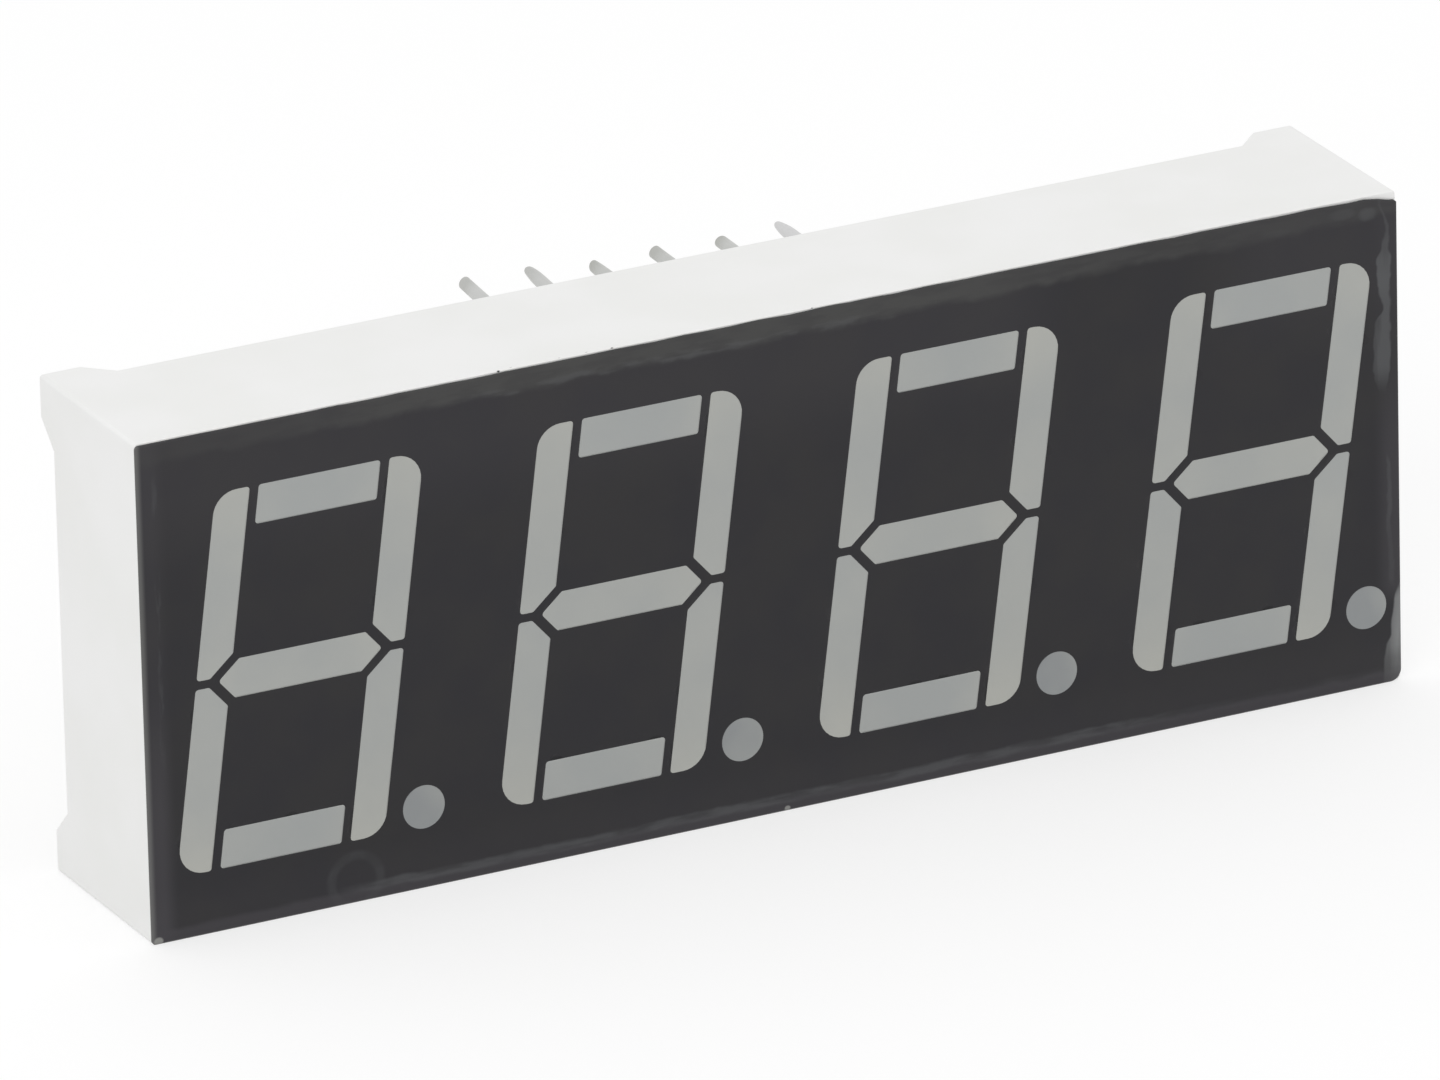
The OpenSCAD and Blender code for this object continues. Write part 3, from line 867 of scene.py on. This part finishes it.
# Faint lighter patches near the top corner: middle across and up, half width and height, and strength
TOP_CORNER_PATCHES = ((23.88, 8.85, 0.4, 0.34, 0.42), (22.95, 9.0, 0.6, 0.24, 0.2), (20.2, 8.8, 0.9, 0.2, 0.12))
PATCH_RAGGED = 3.0
PATCH_SOFT = 1.0
# Places where the film is worn through: middle across and up, half width and half height
WORN_SPOTS = ((-24.92, -9.38, 0.22, 0.19), (0.04, -9.39, 0.14, 0.11))
WORN_SOFT = 0.7
# The pale cut edges: how far in from the low and left edges they start and are full, and how strong
LOW_CUT = (0.07, 0.01)
LOW_CUT_STRENGTH = 0.55
SIDE_CUT = (0.22, 0.0)
SIDE_CUT_STRENGTH = 0.36
# Noise that makes the marks uneven: patches to each mm, the same all ways or along x, y and z, and
# how far each ragged height or side wanders
CLOUD_MIDDLE = 0.5
WANDER_SCALE = 0.8
STREAK_STRETCH = (3.2, 1.0, 0.5)
BRUSH_STRETCH = (0.55, 1.0, 2.6)
TOP_RAGGED = 0.55
LOW_RAGGED = 0.25
LEFT_RAGGED = 0.4
# How much the grain and the painted sheen streaks polish the film
GRAIN_POLISH = 0.6
SHEEN_POLISH = 0.4
# Painted sheen: lighter bands and long faint lines along the film's edges, where its rolled border catches
# the light. Each is some smooth steps multiplied together: what is read, where the step starts and ends, and
# its low and high. Places are in mm from the face's middle.
SHEEN_GAP = 14.5
TOP_LINE_MIDDLE = -4.0
TOP_LINE_HEIGHT = 8.76
LOW_LINE_HEIGHT = -9.0
LEFT_LINE_PLACE = -24.5
MARKS = {
    "upper haze": (("z", 3.5, 7.5, 0.0, 0.24), ("from gap", 2.0, 6.0)),
    "lower haze": (("z", -7.0, -8.8, 0.0, 0.16),),
    "right haze": (("x", 24.0, 24.8), ("z", 3.5, -0.5, 0.14, 0.55), ("z", -6.6, -5.6)),
    "left haze": (("x", -24.0, -24.7), ("z", 1.0, -5.0, 0.24, 0.7)),
    "top band": (
        ("ragged top", 8.5, 8.86), ("x", -24.5, -10.0, 0.3, 1.0), ("x", 2.0, 22.0, 1.0, 0.5),
        ("brushing", 0.35, 0.6, 0.7, 1.05),
    ),
    "top line": (
        ("from top line", 0.18, 0.04), ("from its middle", 10.0, 6.0), ("brushing", 0.42, 0.6, 0.0, 0.4),
    ),
    "low border": (("ragged low", -8.9, -9.15, 0.0, 0.74),),
    "low line": (
        ("from low line", 0.25, 0.08), ("x", -18.5, -15.5), ("x", 17.0, 13.0, 0.2, 1.0),
        ("brushing", 0.38, 0.6, 0.24, 0.66),
    ),
    "left line": (
        ("from left line", 0.14, 0.03), ("streaks", 0.42, 0.6, 0.0, 0.3), ("z", -4.0, 0.0), ("z", 8.8, 7.0),
    ),
}

film_low, film_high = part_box("face_film")
film_right, film_top = film_high.x / MM, film_high.z / MM


def along_course(course, up, column):
    """A sheen streak's side or strength at a height."""
    return float(np.interp(-up, [-row[0] for row in course], [row[column] for row in course]))


def sheen_trough(across, up):
    """The shallow channels under the painted sheen streaks."""
    depth = 0.0
    for course in (LONG_SHEEN, LOW_SHEEN):
        left, right, strength = (along_course(course, up, column) for column in (1, 2, 3))
        middle, half_width = (left + right) / 2, (right - left) / 2
        depth = max(depth, strength * exp(-((across - middle) / half_width) ** 2))
    return SHEEN_TROUGH_DEPTH * depth


def film_dip(across, up, gap):
    """How far the film's front lies behind its flat."""
    edge_gap = min(film_right - abs(across), film_top - abs(up))
    aside, below = across - film_right + WORN_CORNER, WORN_CORNER - film_top - up
    if aside > 0 and below > 0:
        edge_gap = max(WORN_CORNER - hypot(aside, below), 0.0)
    roll = FILM_ROLL * exp(-edge_gap / FILM_ROLL_REACH) + FILM_EASE * exp(-edge_gap / FILM_EASE_REACH)
    window = WINDOW_ROLL * exp(-gap / WINDOW_ROLL_REACH)
    from_ring = abs(hypot(across - RING_PLACE[0], up - RING_PLACE[1]) - RING_RADIUS)
    return max(roll, window) + sheen_trough(across, up) + RING_DEPTH * exp(-(from_ring / RING_WIDTH) ** 2)


def smooth(share):
    """A smooth step from 0 to 1 as a share goes from 0 to 1."""
    share = min(max(share, 0.0), 1.0)
    return share * share * (3 - 2 * share)


def in_worn_corner(corner):
    return max(film_high.x - corner.co.x, corner.co.z - film_low.z) < CORNER_ZONE


def wear_corner(shape):
    """Widens the small arc at the film's low right corner, from the point where its sides would meet."""
    arc = [corner for corner in shape.verts if in_worn_corner(corner)]
    growth = WORN_CORNER * MM / max(film_high.x - corner.co.x for corner in arc)
    for corner in arc:
        corner.co.x = film_high.x - (film_high.x - corner.co.x) * growth
        corner.co.z = film_low.z + (corner.co.z - film_low.z) * growth


face_film = Finish("face_film", Specular_IOR_Level=0.33)
tree = face_film.tree
x, z = face_film.x, face_film.z
grain = face_film.grain(size=0.08)
wander = calc(tree, "SUBTRACT", cloud(tree, face_film.place, WANDER_SCALE), CLOUD_MIDDLE)
streaks = cloud(tree, scaled(tree, face_film.place, STREAK_STRETCH), 1.0)
brushing = cloud(tree, scaled(tree, face_film.place, BRUSH_STRETCH), 1.0)


def ragged(value, reach):
    """A value that wanders a little, which makes the edge of a mark ragged."""
    return calc(tree, "MULTIPLY_ADD", wander, reach, value)


def distance(value, middle):
    """How far a value is from a middle, on either side."""
    return calc(tree, "ABSOLUTE", calc(tree, "SUBTRACT", value, middle))


def squared(value, middle, size=1.0):
    """How many sizes a value is from a middle, squared."""
    return calc(tree, "POWER", calc(tree, "DIVIDE", calc(tree, "SUBTRACT", value, middle), size), 2.0)


def spot(across, up, width, height, raggedness, soft):
    """A mask for a small oval."""
    whole = calc(tree, "ADD", squared(x, across, width), squared(z, up, height))
    return ramp(tree, ragged(whole, raggedness), 1.0, 1.0 - soft)


def follow(course, column):
    """A painted sheen streak's side or strength, for every height."""
    whole = course[0][column]
    for upper, lower in zip(course, course[1:]):
        change = lower[column] - upper[column]
        whole = calc(tree, "ADD", whole, ramp(tree, z, upper[0], lower[0], 0.0, change))
    return whole


def sheen_mask(course):
    """A mask for a long soft streak of painted sheen with ragged sides."""
    side = ragged(x, SHEEN_RAGGED)
    from_left = calc(tree, "SUBTRACT", side, follow(course, 1))
    from_right = calc(tree, "SUBTRACT", follow(course, 2), side)
    inside = calc(tree, "MINIMUM", from_left, from_right)
    return product(tree, ramp(tree, inside, *SHEEN_EDGE), follow(course, 3))


ragged_top = ragged(z, TOP_RAGGED)
ragged_low = ragged(z, LOW_RAGGED)
readings = {
    "x": x, "z": z, "streaks": streaks, "brushing": brushing,
    "ragged top": ragged_top, "ragged low": ragged_low,
    "from gap": distance(x, SHEEN_GAP),
    "from top line": distance(ragged_top, TOP_LINE_HEIGHT),
    "from its middle": distance(x, TOP_LINE_MIDDLE),
    "from low line": distance(ragged_low, LOW_LINE_HEIGHT),
    "from left line": distance(ragged(x, LEFT_RAGGED), LEFT_LINE_PLACE),
}
masks = {
    name: product(tree, *(ramp(tree, readings[reading], *places) for reading, *places in steps))
    for name, steps in MARKS.items()
}
# Painted sheen: the film's border is lighter where its rolled edges catch the light
level_sheen = calc(tree, "MAXIMUM", masks["upper haze"], masks["lower haze"])
sheen = calc(tree, "ADD", level_sheen, calc(tree, "MAXIMUM", masks["left haze"], masks["right haze"]))

# Painted sheen in streaks down the right-hand edge, over the shallow troughs
thin_side = ramp(tree, calc(tree, "MULTIPLY_ADD", streaks, THIN_STREAKS, x), *THIN_SIDE)
thinning = calc(tree, "MAXIMUM", thin_side, ramp(tree, z, *THIN_BELOW))
sheen_streaks = calc(tree, "MAXIMUM", sheen_mask(LONG_SHEEN), sheen_mask(LOW_SHEEN))
sheen_streaks = product(tree, sheen_streaks, ramp(tree, streaks, *SHEEN_STREAKINESS), thinning)

# Painted sheen at the low right corner, where the edge curls back to the light
corner_sheen_side = ragged(calc(tree, "ADD", x, follow(CORNER_SHEEN, 1)), CORNER_SHEEN_RAGGED)
corner_sheen = product(
    tree,
    ramp(tree, corner_sheen_side, *(film_right + place for place in CORNER_SHEEN_EDGE)), follow(CORNER_SHEEN, 2),
    ramp(tree, x, *(film_right + place for place in CORNER_SHEEN_FADE), CORNER_SHEEN_INNER, 1.0),
    ramp(tree, streaks, *CORNER_SHEEN_STREAKS),
)

from_ring_middle = calc(tree, "SQRT", calc(tree, "ADD", squared(x, RING_PLACE[0]), squared(z, RING_PLACE[1])))
from_ring = distance(from_ring_middle, RING_RADIUS)
ring = product(tree, ramp(tree, from_ring, *RING_SHADE), ramp(tree, wander, *RING_STRENGTH))
low_cut = ramp(tree, z, *(place - film_top for place in LOW_CUT))
side_cut = ramp(tree, x, *(place - film_right for place in SIDE_CUT))

layers = [
    (sheen, FILM_SHEEN), (masks["top band"], FILM_TOP_SHEEN), (masks["top line"], FILM_SHEEN_AND_MARK),
    (masks["low border"], FILM_SHEEN), (masks["low line"], FILM_SHEEN_AND_MARK), (masks["left line"], FILM_SHEEN_AND_MARK),
    (sheen_streaks, FILM_SHEEN_AND_MARK), (corner_sheen, FILM_CORNER_SHEEN), (ring, FILM_SHEEN_AND_MARK),
    (product(tree, low_cut, LOW_CUT_STRENGTH), FILM_CUT),
    (product(tree, side_cut, SIDE_CUT_STRENGTH), FILM_CUT),
]
# Faint lighter patches near the top corner
for *place, strength in TOP_CORNER_PATCHES:
    layers.append((product(tree, spot(*place, PATCH_RAGGED, PATCH_SOFT), strength), FILM_SHEEN_AND_MARK))
for place in WORN_SPOTS:
    layers.append((spot(*place, 0.0, WORN_SOFT), FILM_CUT))
film_tone = mix_colour(tree, grain["Tone"], FILM, FILM_WARM)
for layer, colour in layers:
    film_tone = mix_colour(tree, layer, film_tone, colour)
face_film.feed("Base Color", film_tone)
polish = calc(tree, "MULTIPLY_ADD", grain["Relief"], GRAIN_POLISH, calc(tree, "MULTIPLY", sheen_streaks, SHEEN_POLISH))
face_film.rough(polish, low=0.5, high=0.4)
face_film.relief(grain["Relief"], depth=0.003 * MM, strength=0.6)

shape = welded_copy("face_film")
wear_corner(shape)
reface(
    shape, film_low.y, front=True, longest=FILM_OUTLINE_STEP, rows=FILM_ROWS, spacing=FILM_GRID,
    sink=film_dip,
)
for corner in shape.verts:
    along = smooth((corner.co.x - film_high.x + CORNER_DROP_LENGTH) / CORNER_DROP_LENGTH)
    below = smooth((corner.co.z - film_high.z + CORNER_DROP_DEPTH) / CORNER_DROP_DEPTH)
    sag = TOP_SAG + (TOP_SAG_AT_ENDS - TOP_SAG) * (corner.co.x / film_high.x) ** 2
    sag = max(sag + TOP_WAVE * noise_at(Vector((corner.co.x / TOP_WAVE_LENGTH, 0, 0))), 0)
    corner.co.z -= (CORNER_DROP * along + sag) * below
finish_shape("front_film", shape, ["face_film"], face_film)


# ---- Studio ----
# A pale floor that the display stands on, a white room, and two large soft lamps. The floor and
# the room are white to the camera and in reflections, and light the display at a plain level.
WHITE = (1, 1, 1, 1)
FLOOR_SIZE = 4.0
FLOOR_COLOUR = (0.8, 0.8, 0.8, 1)
FLOOR_SEEN_COLOUR = (0.45, 0.45, 0.45, 1)
FLOOR_GLOW = 0.57
ROOM_LIGHT = 0.86
ROOM_SEEN = 1.0


def seen_directly(tree):
    """1 for camera, mirror and glass rays, and 0 for the rays that only light the object."""
    rays = node(tree, "ShaderNodeLightPath").outputs
    seen = calc(tree, "MAXIMUM", rays["Is Camera Ray"], rays["Is Glossy Ray"])
    return calc(tree, "MAXIMUM", seen, rays["Is Transmission Ray"])


floor_mesh = bpy.data.meshes.new("studio_floor")
half = FLOOR_SIZE / 2
floor_mesh.from_pydata(
    [(-half, -half, cad_low.z), (half, -half, cad_low.z), (half, half, cad_low.z), (-half, half, cad_low.z)],
    [], [(0, 1, 2, 3)],
)
floor = bpy.data.objects.new("studio_floor", floor_mesh)
bpy.context.scene.collection.objects.link(floor)
floor_paint = Finish("floor_paint", Roughness=0.9, Specular_IOR_Level=0.0)
seen = seen_directly(floor_paint.tree)
floor_paint.colour(seen, FLOOR_COLOUR, FLOOR_SEEN_COLOUR)
floor_paint.shader.inputs["Emission Color"].default_value = WHITE
floor_paint.feed("Emission Strength", calc(floor_paint.tree, "MULTIPLY", seen, FLOOR_GLOW))
floor_mesh.materials.append(floor_paint.material)

world = bpy.data.worlds.new("white_room")
bpy.context.scene.world = world
world.use_nodes = True
room = world.node_tree.nodes["Background"]
room.inputs["Color"].default_value = WHITE
strength = ramp(world.node_tree, seen_directly(world.node_tree), 0.0, 1.0, ROOM_LIGHT, ROOM_SEEN)
world.node_tree.links.new(strength, room.inputs["Strength"])


def lamp(name, place, width, power):
    """A round lamp that shines at the object and isn't seen itself."""
    made = bpy.data.objects.new(name, bpy.data.lights.new(name, "AREA"))
    made.data.shape = "DISK"
    made.data.size = width
    made.data.energy = power
    made.location = place
    made.rotation_euler = (-Vector(place)).to_track_quat("-Z", "Y").to_euler()
    made.visible_camera = False
    bpy.context.scene.collection.objects.link(made)


lamp("high_lamp", place=(-0.32, -0.34, 0.3), width=0.35, power=0.62)
lamp("side_lamp", place=(0.4, -0.25, 0.16), width=0.25, power=0.1)

bpy.context.scene.view_settings.view_transform = "Standard"
